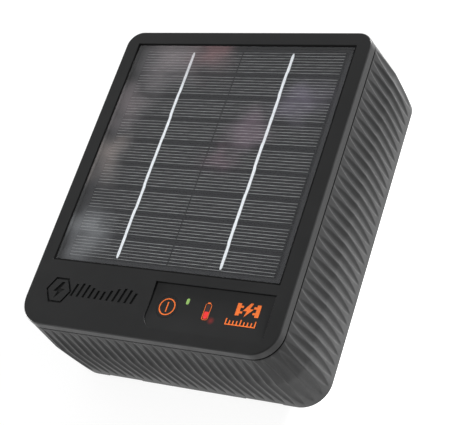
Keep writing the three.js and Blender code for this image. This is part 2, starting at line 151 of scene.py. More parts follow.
def solid(name, sections, ring=False):
    """Closed bodies, each lofted through its own loops. A ring body joins its last loop to its first."""
    bm = bmesh.new()
    for loops in sections:
        rings = [[bm.verts.new(point) for point in loop] for loop in loops]
        if ring:
            rings.append(rings[0])
        count = len(rings[0])
        for lower, upper in zip(rings, rings[1:]):
            for i in range(count):
                j = (i + 1) % count
                bm.faces.new((lower[i], lower[j], upper[j], upper[i]))
        if not ring:
            bm.faces.new(list(reversed(rings[0])))
            bm.faces.new(rings[-1])
    bmesh.ops.recalc_face_normals(bm, faces=bm.faces)
    mesh = bpy.data.meshes.new(name)
    bm.to_mesh(mesh)
    bm.free()
    mesh.transform(Matrix.Scale(MM, 4))
    return add_object(name, mesh)


def combine(piece, operation, tools):
    """Joins tools to a piece, or cuts them out of it, and removes them."""
    for tool in tools:
        modifier = piece.modifiers.new("combine", "BOOLEAN")
        modifier.operation = operation
        modifier.solver = "MANIFOLD"
        modifier.object = tool
    depsgraph = bpy.context.evaluated_depsgraph_get()
    mesh = bpy.data.meshes.new_from_object(piece.evaluated_get(depsgraph), depsgraph=depsgraph)
    piece.modifiers.clear()
    piece.data = mesh
    for tool in tools:
        bpy.data.objects.remove(tool)
    return piece


def cut(piece, *tools):
    return combine(piece, "DIFFERENCE", tools)


def join(piece, *tools):
    return combine(piece, "UNION", tools)


def circle(x, y, radius, z, sides=32):
    angles = [2 * math.pi * i / sides for i in range(sides)]
    return [(x + radius * math.cos(a), y + radius * math.sin(a), z) for a in angles]


def rounded_box(x0, x1, y0, y1, radius, z, steps=5):
    loop = []
    corners = [(x1 - radius, y1 - radius), (x0 + radius, y1 - radius),
               (x0 + radius, y0 + radius), (x1 - radius, y0 + radius)]
    for quarter, (x, y) in enumerate(corners):
        for step in range(steps + 1):
            angle = (quarter + step / steps) * math.pi / 2
            loop.append((x + radius * math.cos(angle), y + radius * math.sin(angle), z))
    return loop


def pill(x, y, half_w, half_l, z, steps=8):
    return rounded_box(x - half_w, x + half_w, y - half_l, y + half_l, half_w - 1e-4, z, steps)


def rod(x, y, radius, z0, z1, sides=32):
    return solid("tool", [[circle(x, y, radius, z0, sides), circle(x, y, radius, z1, sides)]])


def block(x0, x1, y0, y1, z0, z1, radius=0.4):
    return solid("tool", [[rounded_box(x0, x1, y0, y1, radius, z) for z in (z0, z1)]])


def arc(radius, steps, start=0.0, end=90.0):
    """Points of an arc about the origin, from start to end in degrees."""
    angles = [math.radians(start + (end - start) * i / steps) for i in range(steps + 1)]
    return [(radius * math.cos(a), radius * math.sin(a)) for a in angles]


def shade(piece, sharp=32):
    """Smooth faces with sharp edges above an angle in degrees, and normals that keep the flats flat."""
    piece.data.shade_smooth()
    piece.data.set_sharp_from_angle(angle=math.radians(sharp))
    normals = piece.modifiers.new("normals", "WEIGHTED_NORMAL")
    normals.keep_sharp = True
    return piece


def present(piece, body, slot, material, *stands_for, sharp=32):
    """Gives a finished piece its body and its material and hides the CAD nodes it stands for; slot is not
    used.
    """
    shade(piece, sharp)
    piece.data.materials.clear()
    piece.data.materials.append(material)
    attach(piece, body)
    if stands_for:
        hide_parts(*stands_for)
    return piece


# ---------------------------------------------------------------- materials

class Finish:
    """A node material round one Principled shader, with short ways to add and join nodes."""

    def __init__(self, name):
        self.material = bpy.data.materials.new(name)
        self.material.use_nodes = True
        self.tree = self.material.node_tree
        self.shader = self.tree.nodes["Principled BSDF"]
        self.place = self.add("TexCoord").outputs["Object"]

    def add(self, kind, inputs=None, **settings):
        node = self.tree.nodes.new("ShaderNode" + kind)
        for key, value in settings.items():
            setattr(node, key, value)
        for key, value in (inputs or {}).items():
            self.feed(node.inputs[key], value)
        return node

    def feed(self, socket, value):
        if isinstance(value, bpy.types.NodeSocket):
            self.tree.links.new(value, socket)
        else:
            socket.default_value = value

    def set(self, **inputs):
        for key, value in inputs.items():
            self.feed(self.shader.inputs[key.replace("_", " ")], value)

    def noise(self, size, detail=3.0, stretch=(1, 1, 1), roughness=0.55):
        """Noise whose features are about size millimetres across."""
        scale = 1 / (size * MM)
        mapped = self.add("Mapping", {"Vector": self.place, "Scale": [scale * s for s in stretch]})
        inputs = {"Vector": mapped.outputs["Vector"], "Scale": 1.0, "Detail": detail, "Roughness": roughness}
        return self.add("TexNoise", inputs).outputs["Fac"]

    def ramp(self, value, *stops):
        node = self.add("ValToRGB", {"Fac": value})
        elements = node.color_ramp.elements
        while len(elements) < len(stops):
            elements.new(0.5)
        for element, (position, colour) in zip(elements, stops):
            element.position = position
            element.color = (*colour, 1)
        return node.outputs["Color"]

    def span(self, value, low, high, start=0.0, end=1.0, smooth=False):
        """Maps start to end in value onto low to high."""
        inputs = {"Value": value, "From Min": start, "From Max": end, "To Min": low, "To Max": high}
        kind = "SMOOTHSTEP" if smooth else "LINEAR"
        return self.add("MapRange", inputs, interpolation_type=kind).outputs["Result"]

    def math(self, operation, a, b=0.0):
        node = self.add("Math", operation=operation)
        self.feed(node.inputs[0], a)
        self.feed(node.inputs[1], b)
        return node.outputs["Value"]

    def bump(self, height, depth, strength=1.0):
        node = self.add("Bump", {"Height": height, "Distance": depth * MM, "Strength": strength})
        self.set(Normal=node.outputs["Normal"])


def tint(colour, factor):
    return tuple(min(1.0, c * factor) for c in colour)


def moulded(name, colour, roughness, grain=0.35, relief=0.02, spread=0.1, gloss=0.5):
    """Moulded plastic: spark-eroded grain, faint flow marks and uneven gloss."""
    finish = Finish(name)
    flow = finish.noise(35, 2)
    speck = finish.noise(grain, 2)
    both = finish.math("ADD", finish.math("MULTIPLY", flow, 0.6), finish.math("MULTIPLY", speck, 0.4))
    finish.set(Base_Color=finish.ramp(both, (0.3, tint(colour, 1 - spread)), (0.7, tint(colour, 1 + spread))))
    finish.set(Roughness=finish.span(finish.noise(9, 3), roughness - 0.05, roughness + 0.05, 0.3, 0.7))
    finish.set(Specular_IOR_Level=gloss)
    finish.bump(speck, relief)
    return finish


def metal(name, colour, roughness, grain=0.6, stretch=(1, 1, 8), spread=0.12, relief=0.006):
    """Plated or turned metal with drawn-out tool marks and duller patches."""
    finish = Finish(name)
    marks = finish.noise(grain, 3, stretch)
    patches = finish.noise(6, 3)
    dull, bright = tint(colour, 1 - spread), tint(colour, 1 + spread)
    finish.set(Base_Color=finish.ramp(patches, (0.3, dull), (0.7, bright)))
    finish.set(Metallic=1.0, Roughness=finish.span(marks, roughness - 0.08, roughness + 0.12, 0.3, 0.7))
    finish.bump(marks, relief)
    return finish


CHARCOAL = (0.0145, 0.0147, 0.015)
cover_finish = moulded("cover_plastic", CHARCOAL, 0.36, gloss=0.17)
body_finish = moulded("body_plastic", tint(CHARCOAL, 0.8), 0.38, gloss=0.14)
rubber = moulded("seal_rubber", (0.012, 0.012, 0.012), 0.75, 0.8, 0.03, gloss=0.1).material
sealant = moulded("sealant", (0.006, 0.006, 0.006), 0.8, 1.5, 0.02, gloss=0.02).material
black_plastic = moulded("black_plastic", (0.014, 0.014, 0.015), 0.45, 0.3).material
red_plastic = moulded("red_plastic", (0.42, 0.02, 0.015), 0.4, 0.4).material
green_plastic = moulded("green_plastic", (0.02, 0.19, 0.05), 0.4, 0.4).material
film_capacitor = moulded("capacitor_case", (0.03, 0.08, 0.26), 0.35, 0.9, 0.01).material
bobbin_plastic = moulded("bobbin_plastic", (0.62, 0.55, 0.40), 0.55, 0.5).material
ferrite = moulded("ferrite", (0.035, 0.035, 0.038), 0.65, 0.5, 0.05, 0.25).material
wrap = moulded("cell_wrap", (0.02, 0.20, 0.30), 0.3, 3.0, 0.01, 0.15).material
zinc = metal("zinc_steel", (0.62, 0.63, 0.64), 0.32).material
brass = metal("brass", (0.70, 0.50, 0.19), 0.28).material
tin_painted_glow_finish = metal("tinned_copper", (0.93, 0.94, 0.96), 0.42, 0.5, (1, 1, 1), 0.06)
# Painted light: the ribbons glow a little, an emission that stands in for bright glints on the tin.
tin_painted_glow_finish.set(Metallic=0.0, Emission_Color=(1, 1, 1, 1), Emission_Strength=0.28)
tinned = tin_painted_glow_finish.material


def add_painted_glow(finish, x, y, radius, colour, strength):
    """A painted glow: emission on the plate round one point, standing in for a lamp's light spilling onto it.
    """
    at = finish.add("SeparateXYZ", {"Vector": finish.place})
    dx = finish.math("SUBTRACT", at.outputs["X"], x * MM)
    dy = finish.math("SUBTRACT", at.outputs["Y"], y * MM)
    flat = finish.add("CombineXYZ", {"X": dx, "Y": dy})
    reach = finish.add("VectorMath", {0: flat.outputs["Vector"]}, operation="LENGTH").outputs["Value"]
    finish.set(Emission_Color=(*colour, 1))
    finish.set(Emission_Strength=finish.span(reach, strength, 0.0, 0.0, radius * MM, smooth=True))


# Painted glow on the cover, round the battery lamp.
add_painted_glow(cover_finish, 37.25, -76.75, 2.5, (0.8, 0.02, 0.02), 0.2)


def lamp_lens(name, colour, strength, dark_above=None):
    """A light pipe that glows, a little unevenly, and stays dark above a given Y."""
    finish = Finish(name)
    cloud = finish.noise(1.6, 2)
    finish.set(Base_Color=(*tint(colour, 0.25), 1), Roughness=0.25, Emission_Color=(*colour, 1))
    glow = finish.span(cloud, 0.75 * strength, 1.2 * strength, 0.3, 0.7)
    if dark_above is not None:
        height = finish.add("SeparateXYZ", {"Vector": finish.place}).outputs["Y"]
        edge = 0.25 * MM
        lit = finish.span(height, 1.0, 0.0, dark_above * MM - edge, dark_above * MM + edge, smooth=True)
        glow = finish.math("MULTIPLY", glow, lit)
        dark = (0.03, 0.012, 0.012)
        finish.set(Base_Color=finish.ramp(lit, (0.0, dark), (1.0, tint(colour, 0.5))))
    finish.set(Emission_Strength=glow)
    return finish.material


def print_ink(name, colour):
    """Pad-printed ink: thin, slightly uneven cover and a satin face, with a faint painted glow."""
    finish = Finish(name)
    cover = finish.noise(0.5, 3)
    finish.set(Base_Color=finish.ramp(cover, (0.3, tint(colour, 0.85)), (0.65, colour)))
    # Painted light: a faint emission makes the print brighter than the lamps alone light it.
    finish.set(Roughness=0.55, Emission_Color=(*colour, 1), Emission_Strength=0.2)
    finish.bump(cover, 0.01)
    return finish.material


ORANGE = (0.72, 0.134, 0.008)
ink = print_ink("orange_ink", ORANGE)
green_lens = lamp_lens("green_lens", (0.27, 0.47, 0.12), 0.85)
red_lens = lamp_lens("red_lens", (0.82, 0.027, 0.027), 0.58, -72.4)


# ---------------------------------------------------------------- case outline

def outline(phase, offset):
    """A point on the face's outline, grown by offset; phase counts ribs from the middle of the near end."""
    run = min(phase, RIB_COUNT - phase)
    side = 1 if phase <= HALF_RIBS else -1
    half_w = FACE_HALF_W + offset
    half_l = FACE_HALF_L + offset
    near = NEAR_RADIUS + offset
    far = FAR_RADIUS + offset
    near_end = NEAR_HALF_RIBS + NEAR_CORNER_RIBS
    side_end = near_end + SIDE_RIBS
    far_end = side_end + FAR_CORNER_RIBS
    if run <= NEAR_HALF_RIBS:
        x = (half_w - near) * run / NEAR_HALF_RIBS
        y = -half_l
    elif run <= near_end:
        turn = (run - NEAR_HALF_RIBS) / NEAR_CORNER_RIBS * math.pi / 2
        x = half_w - near + near * math.sin(turn)
        y = near - half_l - near * math.cos(turn)
    elif run <= side_end:
        x = half_w
        y = near - half_l + (2 * half_l - near - far) * (run - near_end) / SIDE_RIBS
    elif run <= far_end:
        turn = (run - side_end) / FAR_CORNER_RIBS * math.pi / 2
        x = half_w - far + far * math.cos(turn)
        y = half_l - far + far * math.sin(turn)
    else:
        x = (half_w - far) * (HALF_RIBS - run) / FAR_HALF_RIBS
        y = half_l
    return side * x, y


def smooth_phases():
    """Phases with points only where the outline turns."""
    near_end = NEAR_HALF_RIBS + NEAR_CORNER_RIBS
    side_end = near_end + SIDE_RIBS
    near = [NEAR_HALF_RIBS + NEAR_CORNER_RIBS * i / CORNER_STEPS for i in range(CORNER_STEPS + 1)]
    far = [side_end + FAR_CORNER_RIBS * i / CORNER_STEPS for i in range(CORNER_STEPS + 1)]
    right = near + far
    return right + [RIB_COUNT - phase for phase in reversed(right)]


def case_loop(offset, z):
    return [(*outline(phase, offset), z) for phase in smooth_phases()]


def case_loft(levels):
    """A closed body through outline loops given as (offset, z)."""
    return solid("tool", [[case_loop(offset, z) for offset, z in levels]])


def wall_offset(z):
    """The case wall's bulge: a curve from the base up to the crest, then a straight draught."""
    if z < CREST_Z:
        return CREST_OFFSET - (CREST_OFFSET - BASE_OFFSET) * ((CREST_Z - z) / CREST_Z) ** BULGE_POWER
    return CREST_OFFSET + (PART_OFFSET - CREST_OFFSET) * (z - CREST_Z) / (RIM_Z - CREST_Z)


def groove_depth(phase, z):
    """Depth of the lens-shaped grooves between the ribs."""
    height = (z - RIB_MIDDLE_Z) / RIB_HALF_HEIGHT
    share = math.sqrt(max(0.0, 1 - height ** 2))
    shifted = phase - GROOVE_SHIFT
    across = abs(shifted - round(shifted)) / GROOVE_HALF_WIDTH
    room = share - across ** 2 / max(share, 0.1)
    return GROOVE_DEPTH * (room + math.sqrt(room ** 2 + GROOVE_BLEND ** 2)) / 2


def wall_rows():
    """(inset, z) rows of the outer wall, with a rounded base edge and a rounded rim."""
    base_radius = 0.8
    rim_radius = 0.12
    row_count = 44
    rows = [(base_radius - x, base_radius - y) for x, y in arc(base_radius, 5, 90, 0)]
    low = base_radius
    high = RIM_Z - rim_radius
    for i in range(1, row_count):
        rows.append((0.0, low + (high - low) * i / row_count))
    rows += [(rim_radius - x, high + y) for x, y in arc(rim_radius, 3)]
    return rows


def ribbed_wall():
    phases = [i / RIB_STEPS for i in range(RIB_COUNT * RIB_STEPS)]
    loops = []
    for inset, z in wall_rows():
        bulge = wall_offset(z) - inset
        loops.append([(*outline(p, bulge - groove_depth(p, z)), z) for p in phases])
    return solid("case_shell", [loops])


# ---------------------------------------------------------------- case body

def flared(x0, x1, y0, y1, radius, roof, flare=0.9):
    """A pocket cut from below, with rounded corners, a flared mouth and a rounded roof edge."""
    soft = 1.0
    loops = [
        rounded_box(x0 - flare, x1 + flare, y0 - flare, y1 + flare, radius + flare, -1.0),
        rounded_box(x0 - flare, x1 + flare, y0 - flare, y1 + flare, radius + flare, 0.0),
        rounded_box(x0, x1, y0, y1, radius, flare),
    ]
    for x, y in arc(soft, 4):
        inset = soft - x
        top = roof - soft + y
        loops.append(rounded_box(x0 + inset, x1 - inset, y0 + inset, y1 - inset, radius - inset, top))
    return solid("tool", [loops])


def stepped_hole(x, y, steps):
    """A round hole through (radius, z) steps from below."""
    return solid("tool", [[circle(x, y, radius, z) for radius, z in steps]])


def notch(x):
    """The way out for a lead, through the near wall, with rounded upper corners."""
    radius = 0.8
    section = [(x - NOTCH_HALF_W, -1.0), (x + NOTCH_HALF_W, -1.0)]
    reach, top = NOTCH_HALF_W - radius, NOTCH_HEIGHT - radius
    section += [(x + reach + a, top + b) for a, b in arc(radius, 5)]
    section += [(x - reach + a, top + b) for a, b in arc(radius, 5, 90, 180)]
    ends = (BAY_NEAR_Y + 1.5, -FACE_HALF_L - 6)
    return solid("tool", [[[(px, y, pz) for px, pz in section] for y in ends]])


def case_cavity():
    """The room inside the case: its inner faces less the posts, bays and pocket that stand in it."""
    levels = [(-1.0, 0.0), (0.6, 0.3), (1.0, 1.2)]
    inner = [(wall_offset(FLOOR) - WALL - 1.2 + rise * 1.2, FLOOR + lift) for rise, lift in levels]
    inner += [(wall_offset(z) - WALL, z) for z in (8, 14, 20, 26, CREST_Z, 45, RIM_Z - 2.5)]
    rebate = RIM_Z - 1.25
    inner += [(PART_OFFSET - WALL, rebate), (PART_OFFSET - 0.7, rebate), (PART_OFFSET - 0.6, RIM_Z - 0.9)]
    inner += [(PART_OFFSET - 0.16, RIM_Z - 0.02), (PART_OFFSET - 0.16, RIM_Z + 1)]
    cavity = case_loft(inner)
    posts = []
    for node in CASE_SCREWS:
        place = middle(node)
        steps = [(7.2, 1.0), (6.2, FLOOR + 1.5), (5.6, FLOOR + 5), (5.2, span(node)[1].z - 8.1)]
        posts.append(stepped_hole(place.x, place.y, steps))
    bays = []
    for x in (-TERMINAL_X, TERMINAL_X):
        wide = BAY_HALF_W + BAY_WALL
        far, roof = BAY_FAR_Y + BAY_WALL, BAY_ROOF + BAY_WALL
        bays.append(block(x - wide, x + wide, -FACE_HALF_L - 4, far, -1, roof, 2.5))
    edge = 2.3
    pocket = block(HANGER_LO.x - edge, HANGER_HI.x + edge, HANGER_LO.y - edge, HANGER_HI.y + edge,
                   -1, HANGER_POCKET + 2.4, 3.0)
    return cut(cavity, *posts, *bays, pocket)


def case_shell():
    shell = cut(ribbed_wall(), case_cavity())
    tools = []
    for x in (-TERMINAL_X, TERMINAL_X):
        tools.append(flared(x - BAY_HALF_W, x + BAY_HALF_W, BAY_NEAR_Y + 0.9, BAY_FAR_Y, 3.0, BAY_ROOF))
        tools.append(notch(x))
        tools.append(rod(x, TERMINAL_Y, STUD_HOLE, BAY_ROOF - 1, BAY_ROOF + BAY_WALL + 1))
    for node in CASE_SCREWS:
        place = middle(node)
        seat = span(node)[0].z + 3.6
        tools.append(stepped_hole(place.x, place.y, [(4.5, -1), (4.5, 0), (3.8, 0.7), (3.8, seat)]))
        tools.append(rod(place.x, place.y, 2.2, seat - 1, seat + 12, 20))
    tools.append(flared(HANGER_LO.x - 0.3, HANGER_HI.x + 0.3, HANGER_LO.y - 0.3, HANGER_HI.y + 0.3, 2.0,
                        HANGER_POCKET, 0.6))
    shell = cut(shell, *tools)
    pads = []
    for node in HANGER_SCREWS:
        place = middle(node)
        pads.append(solid("tool", [[circle(place.x, place.y, 5.6, HANGER_HI.z + 0.3),
                                    circle(place.x, place.y, 6.0, HANGER_HI.z + 0.8),
                                    circle(place.x, place.y, 6.4, HANGER_POCKET + 1)]]))
    shell = join(shell, *pads)
    pilots = [rod(middle(node).x, middle(node).y, 1.9, 2, HANGER_POCKET + 1.2, 20) for node in HANGER_SCREWS]
    return cut(shell, *pilots)


present(case_shell(), "root", "body_plastic", body_finish.material, "case_body")


# ---------------------------------------------------------------- front cover

def ramp_floor(y):
    """Height of the control ramp's floor, which runs out into the face at its near end."""
    along = min(max((RAMP_FAR_Y - y) / (RAMP_FAR_Y - RAMP_NEAR_Y), 0.0), 1.0)
    return FACE_Z - RAMP_DEPTH * (1 - along ** 3) ** 1.5


def ramp_left(y):
    """The ramp's left edge, straight and then swept to the right at its near end."""
    if y >= RAMP_SWEEP_Y:
        return RAMP_LEFT
    share = min((RAMP_SWEEP_Y - y) / (RAMP_SWEEP_Y - RAMP_NEAR_Y), 1.0)
    return RAMP_LEFT + RAMP_SWEEP * (1 - math.sqrt(max(0.0, 1 - share ** 2)))


def ramp_tool(side_gap=0.0):
    """Everything above the ramp's floor, with softened upper edges."""
    soft = 0.14
    steps = 40
    loops = []
    for i in range(steps + 1):
        y = RAMP_FAR_Y + (RAMP_NEAR_Y - RAMP_FAR_Y) * i / steps
        floor = min(ramp_floor(y), FACE_Z - 0.002) + (0.01 if i == steps else 0)
        shoulder = max(FACE_Z - soft, floor + 0.001)
        left = ramp_left(y) - side_gap
        right = RAMP_RIGHT + side_gap
        loops.append([
            (left, y, floor), (right, y, floor), (right, y, shoulder), (right + soft, y, FACE_Z + 0.02),
            (right + soft, y, FACE_Z + 2), (left - soft, y, FACE_Z + 2), (left - soft, y, FACE_Z + 0.02),
            (left, y, shoulder),
        ])
    return solid("tool", [loops])


def ramp_trench():
    """A narrow groove along the ramp's left edge and its sweep, and a finer one along its far edge."""
    steps = 40
    loops = []
    for i in range(steps + 1):
        y = RAMP_FAR_Y + (RAMP_TRENCH_END_Y - RAMP_FAR_Y) * i / steps
        left = ramp_left(y)
        width = TRENCH_WIDTH * (1 - (i / steps) ** 6) + 0.05
        floor = ramp_floor(y) - TRENCH_DEPTH * (1 - (i / steps) ** 6)
        loops.append([(left - 0.1, y, floor), (left + width, y, floor),
                      (left + width, y, FACE_Z + 0.5), (left - 0.1, y, FACE_Z + 0.5)])
    side = solid("tool", [loops])
    low = ramp_floor(RAMP_FAR_Y) - TRENCH_DEPTH
    near_y, far_y, high = RAMP_FAR_Y - FAR_TRENCH_WIDTH, RAMP_FAR_Y + 0.05, FACE_Z + 0.5
    far = solid("tool", [[[(x, near_y, low), (x, far_y, low), (x, far_y, high), (x, near_y, high)]
                          for x in (RAMP_LEFT, RAMP_RIGHT)]])
    return side, far


def window_loop(margin, z):
    x, y = (GLASS_LO.x + GLASS_HI.x) / 2, (GLASS_LO.y + GLASS_HI.y) / 2
    half_w = (GLASS_HI.x - GLASS_LO.x) / 2 + margin
    half_l = (GLASS_HI.y - GLASS_LO.y) / 2 + margin
    return rounded_box(x - half_w, x + half_w, y - half_l, y + half_l, 0.5, z, 3)


def window_block(margin, z0, z1):
    return solid("tool", [[window_loop(margin, z0), window_loop(margin, z1)]])


def window_opening():
    soft = 0.16
    loops = [window_loop(WINDOW_GAP, LEDGE_TOP), window_loop(WINDOW_GAP, FACE_Z - soft)]
    loops.append(window_loop(WINDOW_GAP + 0.3 * soft, FACE_Z - 0.3 * soft))
    loops.append(window_loop(WINDOW_GAP + soft, FACE_Z))
    loops.append(window_loop(WINDOW_GAP + soft, FACE_Z + 1))
    return solid("tool", [loops])


EMBLEM_BARS = 11
EMBLEM_LEFT = -49.0
EMBLEM_PITCH = 3.75
EMBLEM_LOW_Y = -73.8
EMBLEM_DEPTH = 0.9
EMBLEM_SLANT = 0.28
EMBLEM_CENTRE = (-57.0, -71.4)
BOLT = [(0.9, 6.6), (-4.6, -1.0), (-0.9, -1.0), (-2.3, -6.8), (4.9, 1.3), (1.2, 1.3), (3.4, 6.6)]


def emblem_tools():
    """Generic relief sunk into the face: a bolt in a hexagon and a row of slanted bars."""
    tools = []
    for bar in range(EMBLEM_BARS):
        height = 6.2 + 1.6 * math.sin(0.9 * bar + 0.6)
        x = EMBLEM_LEFT + EMBLEM_PITCH * bar
        lean = EMBLEM_SLANT * height
        outline_points = [(x, 0), (x + 1.5, 0), (x + 1.5 + lean, height), (x + lean, height)]
        loops = [[(px, EMBLEM_LOW_Y + py, z) for px, py in outline_points]
                 for z in (FACE_Z - EMBLEM_DEPTH, FACE_Z + 1)]
        tools.append(solid("tool", [loops]))
    x, y = EMBLEM_CENTRE
    levels = (FACE_Z - EMBLEM_DEPTH, FACE_Z + 1)
    bolt = [[(x + 0.72 * px, y + 0.72 * py, z) for px, py in BOLT] for z in levels]
    tools.append(solid("tool", [bolt]))
    frame_loops = [circle(x, y, radius, z, 6) for radius, z in
                   ((8.2, levels[0]), (8.2, levels[1]), (6.9, levels[1]), (6.9, levels[0]))]
    tools.append(solid("tool", [frame_loops], ring=True))
    return tools


POWER = middle("power_button")
KEY_RADIUS = 6.0
KEY_GAP = 0.1
LAMP_GAP = 0.05
POWER_LAMP = span("power_light_pipe")
BATTERY_LAMP = span("battery_light_pipe")


def lamp_loop(lamp, margin, z):
    low, high = lamp
    half_w = (high.x - low.x) / 2 + margin
    half_l = (high.y - low.y) / 2 + margin
    return pill((low.x + high.x) / 2, (low.y + high.y) / 2, half_w, half_l, z)


def cover_shell():
    fillet = 0.75
    draught = 0.3
    foot = RIM_Z + 0.8
    levels = [(PART_OFFSET - 0.12, foot), (PART_OFFSET, foot + 0.12)]
    levels += [(PART_OFFSET - draught - fillet + x, FACE_Z - fillet + y) for x, y in arc(fillet, 6)]
    skin = case_loft(levels)
    skin.name = "cover_shell"
    hollow = case_loft([(PART_OFFSET - 2.5, RIM_Z - 1), (PART_OFFSET - 2.6, PLATE_UNDERSIDE)])
    tongue = cut(case_loft([(PART_OFFSET - 1.15, RIM_Z - 0.75), (PART_OFFSET - 1.1, foot + 1.5)]),
                 case_loft([(PART_OFFSET - 2.4, RIM_Z - 2), (PART_OFFSET - 2.4, foot + 3)]))
    ledge_low = LEDGE_TOP - 2
    tray = cut(window_block(WINDOW_GAP + 2, ledge_low, FACE_Z - 1),
               window_block(WINDOW_GAP, ledge_low - 1, FACE_Z))
    ledge = cut(window_block(WINDOW_GAP + 1, ledge_low, LEDGE_TOP),
                window_block(-5, ledge_low - 1, LEDGE_TOP + 1))
    bosses, pilots = [], []
    for node in CASE_SCREWS:
        place = middle(node)
        low = COVER_LO.z
        bosses.append(stepped_hole(place.x, place.y, [(3.5, low), (3.8, low + 0.4), (3.9, LEDGE_TOP - 1)]))
        pilots.append(rod(place.x, place.y, 2.1, low - 1, LEDGE_TOP - 2, 20))
    for node in BOARD_SCREWS:
        place = middle(node)
        low = span("main_board")[1].z + 0.3
        steps = [(2.9, low), (3.2, low + 0.4), (3.3, PLATE_UNDERSIDE + 0.5)]
        bosses.append(stepped_hole(place.x, place.y, steps))
        pilots.append(rod(place.x, place.y, 1.8, low - 1, low + 8, 20))
    shell = join(cut(skin, hollow), tongue, tray, ledge, *bosses)
    key_hole = rod(POWER.x, POWER.y, KEY_RADIUS + KEY_GAP, PLATE_UNDERSIDE - 1, FACE_Z + 1, 64)
    lamps = [solid("tool", [[lamp_loop(lamp, LAMP_GAP, z) for z in (PLATE_UNDERSIDE - 1, FACE_Z + 1)]])
             for lamp in (POWER_LAMP, BATTERY_LAMP)]
    return cut(shell, window_opening(), ramp_tool(), *ramp_trench(), key_hole, *lamps, *pilots,
               *emblem_tools())


present(cover_shell(), "root", "cover_plastic", cover_finish.material, "front_cover")


# ---------------------------------------------------------------- controls

def power_key():
    """The key, whose top follows the ramp's floor, on its flange and stem."""
    low, high = span("power_button")
    flange_top = PLATE_UNDERSIDE - 0.3
    soft = 0.12

    def top(radius, drop):
        return [(x, y, ramp_floor(y) - drop) for x, y, _ in circle(POWER.x, POWER.y, radius, 0, 64)]

    x, y = POWER.x, POWER.y
    loops = [circle(x, y, 1.4, low.z, 64), circle(x, y, 1.6, low.z + 0.3, 64)]
    loops.append(circle(x, y, 1.6, flange_top - 1.6, 64))
    loops += [circle(x, y, 7.2, flange_top - 1.4, 64), circle(x, y, 7.4, flange_top - 1.2, 64)]
    loops += [circle(x, y, 7.4, flange_top, 64), circle(x, y, KEY_RADIUS, flange_top + 0.05, 64)]
    loops += [top(KEY_RADIUS, soft), top(KEY_RADIUS - 0.3 * soft, 0.3 * soft), top(KEY_RADIUS - soft, 0)]
    loops += [top(KEY_RADIUS * share, 0) for share in (0.7, 0.35, 0.05)]
    return solid("power_key", [loops])


present(power_key(), "power_button", "cover_plastic", cover_finish.material, "power_button")

INK_HEIGHT = 0.06


def printed(name, outlines, holes=()):
    """Flat shapes printed on the ramp; an outline with a hole in it is a band between two loops."""
    sections = []
    for points in outlines:
        lower = [(x, y, ramp_floor(y) - 0.02) for x, y in points]
        upper = [(x, y, ramp_floor(y) + INK_HEIGHT) for x, y in points]
        sections.append([lower, upper])
    bands = []
    for outer, inner in holes:
        rims = ((outer, -0.02), (outer, INK_HEIGHT), (inner, INK_HEIGHT), (inner, -0.02))
        bands.append([[(x, y, ramp_floor(y) + lift) for x, y in rim] for rim, lift in rims])
    piece = solid(name, sections)
    if bands:
        rings = solid(name + "_rings", bands, ring=True)
        join(piece, rings)
    return piece


def flat(loop):
    return [(x, y) for x, y, _ in loop]


def rectangle(x0, x1, y0, y1, slices=6):
    """A rectangle with extra points along Y, so that it can follow the ramp."""
    ys = [y0 + (y1 - y0) * i / slices for i in range(slices + 1)]
    return [(x1, y) for y in ys] + [(x0, y) for y in reversed(ys)]


MARK_RADIUS = 4.6
MARK_LINE = 0.6
bar = rectangle(POWER.x - MARK_LINE / 2, POWER.x + MARK_LINE / 2, POWER.y - 2.75, POWER.y + 2.6)
ring = [flat(circle(POWER.x, POWER.y, radius, 0, 72)) for radius in (MARK_RADIUS, MARK_RADIUS - MARK_LINE)]
present(printed("power_mark", [bar], [ring]), "power_button", None, ink)

BATTERY = (BATTERY_LAMP[0] + BATTERY_LAMP[1]) / 2
BATTERY_HALF_W = 1.75
BATTERY_HALF_L = 4.45
BATTERY_LINE = 0.25


def battery_mark():
    x, y = BATTERY.x, BATTERY.y
    outer = rounded_box(x - BATTERY_HALF_W, x + BATTERY_HALF_W,
                        y - BATTERY_HALF_L, y + BATTERY_HALF_L, 1.2, 0, 6)
    half_w = BATTERY_HALF_W - BATTERY_LINE
    half_l = BATTERY_HALF_L - BATTERY_LINE
    inner = rounded_box(x - half_w, x + half_w, y - half_l, y + half_l, 0.8, 0, 6)
    nub = flat(rounded_box(x - 0.8, x + 0.8, y + BATTERY_HALF_L - 0.15, y + BATTERY_HALF_L + 0.5, 0.2, 0, 3))
    return printed("battery_mark", [nub], [(flat(outer), flat(inner))])


present(battery_mark(), "root", None, ink)


def fence_mark():
    """A generic fence sign: a bold bolt between two posts with wires, over a row of thin ticks."""
    low_y, high_y = -72.2, -65.7
    posts = [rectangle(x, x + 2.1, low_y, high_y) for x in (48.9, 59.7)]
    wires = [rectangle(x, x + 1.6, y, y + 1.1) for x in (50.9, 58.2) for y in (-68.0, -71.0)]
    bolt = [(55.35 + 0.58 * px, -68.9 + 0.56 * py) for px, py in BOLT]
    ticks = []
    tick_count = 9
    for i in range(tick_count):
        x = 45.2 + 2.0 * i
        tall = 3.2 if i % 4 == 0 else 2.2
        ticks.append(rectangle(x, x + 0.6, -77.4, -77.4 + tall, 2))
    base = rectangle(45.2, 61.8, -77.6, -77.1, 1)
    return posts, wires, bolt, ticks, base


def fence_mark_piece():
    posts, wires, bolt, ticks, base = fence_mark()
    piece = printed("fence_mark", [posts[0]])
    others = [printed("tool", [shape]) for shape in (*posts[1:], *wires, bolt, *ticks, base)]
    return join(piece, *others)


present(fence_mark_piece(), "root", None, ink)


